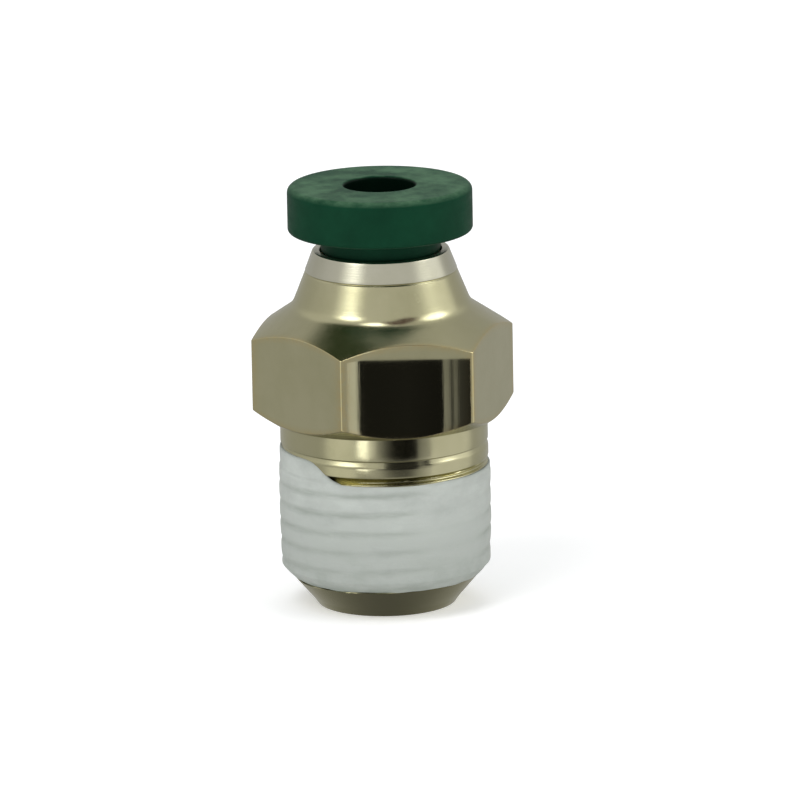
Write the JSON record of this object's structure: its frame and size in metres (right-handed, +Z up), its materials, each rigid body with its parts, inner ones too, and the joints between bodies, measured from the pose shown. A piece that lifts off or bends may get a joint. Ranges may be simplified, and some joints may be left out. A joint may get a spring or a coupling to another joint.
{
  "type": "push to connect tube fitting",
  "caption": "Straight push to connect fitting: green release button, hexagonal plated brass body and a taper pipe thread coated with white sealant.",
  "frame": {"origin": "centre of the threaded end's face, the lowest point of the fitting", "axes": "+Z up the common axis from the thread to the release button; the middle of one wrench flat faces -Y"},
  "size_m": [0.0128, 0.0112, 0.0204],
  "materials": {
    "nickel_plate": "nickel plated, machined",
    "sealant": "dried thread sealant paste",
    "nitrile": "satin",
    "washer_plastic": "moulded",
    "spring_steel": "stamped sheet",
    "green_acetal": "moulded, fine grain"
  },
  "bodies": {
    "fitting_body": {"body": "nickel_plate", "thread_sealant": "sealant", "tube_seal": "nitrile", "support_washer": "washer_plastic", "grab_ring": "spring_steel", "retaining_ring": "nickel_plate"},
    "release_button": {"release_button": "green_acetal"},
    "grab_tooth_01": {"grab_tooth_01": "spring_steel"},
    "grab_tooth_02": {"grab_tooth_02": "spring_steel"},
    "grab_tooth_03": {"grab_tooth_03": "spring_steel"},
    "grab_tooth_04": {"grab_tooth_04": "spring_steel"},
    "grab_tooth_05": {"grab_tooth_05": "spring_steel"},
    "grab_tooth_06": {"grab_tooth_06": "spring_steel"},
    "grab_tooth_07": {"grab_tooth_07": "spring_steel"},
    "grab_tooth_08": {"grab_tooth_08": "spring_steel"},
    "grab_tooth_09": {"grab_tooth_09": "spring_steel"},
    "grab_tooth_10": {"grab_tooth_10": "spring_steel"}
  },
  "joints": [
    {"name": "button_press", "type": "slide", "parent": "fitting_body", "child": "release_button", "axis": [0, 0, -1], "range_m": [0, 0.00087], "stiffness_N_per_m": 300},
    {"name": "grab_tooth_01_flex", "type": "hinge", "parent": "fitting_body", "child": "grab_tooth_01", "pos_m": [0.00255, 0, 0.0136], "axis": [0, -1, 0], "range_deg": [0, 20]},
    {"name": "grab_tooth_02_flex", "type": "hinge", "parent": "fitting_body", "child": "grab_tooth_02", "pos_m": [0.00206, 0.0015, 0.0136], "axis": [0.5878, -0.809, 0], "range_deg": [0, 20]},
    {"name": "grab_tooth_03_flex", "type": "hinge", "parent": "fitting_body", "child": "grab_tooth_03", "pos_m": [0.00079, 0.00243, 0.0136], "axis": [0.9511, -0.309, 0], "range_deg": [0, 20]},
    {"name": "grab_tooth_04_flex", "type": "hinge", "parent": "fitting_body", "child": "grab_tooth_04", "pos_m": [-0.00079, 0.00243, 0.0136], "axis": [0.9511, 0.309, 0], "range_deg": [0, 20]},
    {"name": "grab_tooth_05_flex", "type": "hinge", "parent": "fitting_body", "child": "grab_tooth_05", "pos_m": [-0.00206, 0.0015, 0.0136], "axis": [0.5878, 0.809, 0], "range_deg": [0, 20]},
    {"name": "grab_tooth_06_flex", "type": "hinge", "parent": "fitting_body", "child": "grab_tooth_06", "pos_m": [-0.00255, 0, 0.0136], "axis": [0, 1, 0], "range_deg": [0, 20]},
    {"name": "grab_tooth_07_flex", "type": "hinge", "parent": "fitting_body", "child": "grab_tooth_07", "pos_m": [-0.00206, -0.0015, 0.0136], "axis": [-0.5878, 0.809, 0], "range_deg": [0, 20]},
    {"name": "grab_tooth_08_flex", "type": "hinge", "parent": "fitting_body", "child": "grab_tooth_08", "pos_m": [-0.00079, -0.00243, 0.0136], "axis": [-0.9511, 0.309, 0], "range_deg": [0, 20]},
    {"name": "grab_tooth_09_flex", "type": "hinge", "parent": "fitting_body", "child": "grab_tooth_09", "pos_m": [0.00079, -0.00243, 0.0136], "axis": [-0.9511, -0.309, 0], "range_deg": [0, 20]},
    {"name": "grab_tooth_10_flex", "type": "hinge", "parent": "fitting_body", "child": "grab_tooth_10", "pos_m": [0.00206, -0.0015, 0.0136], "axis": [-0.5878, -0.809, 0], "range_deg": [0, 20]}
  ],
  "couplings": [
    {"joint": "grab_tooth_01_flex", "follows": "button_press", "rad_per_m": 401.22},
    {"joint": "grab_tooth_02_flex", "follows": "button_press", "rad_per_m": 401.22},
    {"joint": "grab_tooth_03_flex", "follows": "button_press", "rad_per_m": 401.22},
    {"joint": "grab_tooth_04_flex", "follows": "button_press", "rad_per_m": 401.22},
    {"joint": "grab_tooth_05_flex", "follows": "button_press", "rad_per_m": 401.22},
    {"joint": "grab_tooth_06_flex", "follows": "button_press", "rad_per_m": 401.22},
    {"joint": "grab_tooth_07_flex", "follows": "button_press", "rad_per_m": 401.22},
    {"joint": "grab_tooth_08_flex", "follows": "button_press", "rad_per_m": 401.22},
    {"joint": "grab_tooth_09_flex", "follows": "button_press", "rad_per_m": 401.22},
    {"joint": "grab_tooth_10_flex", "follows": "button_press", "rad_per_m": 401.22}
  ]
}
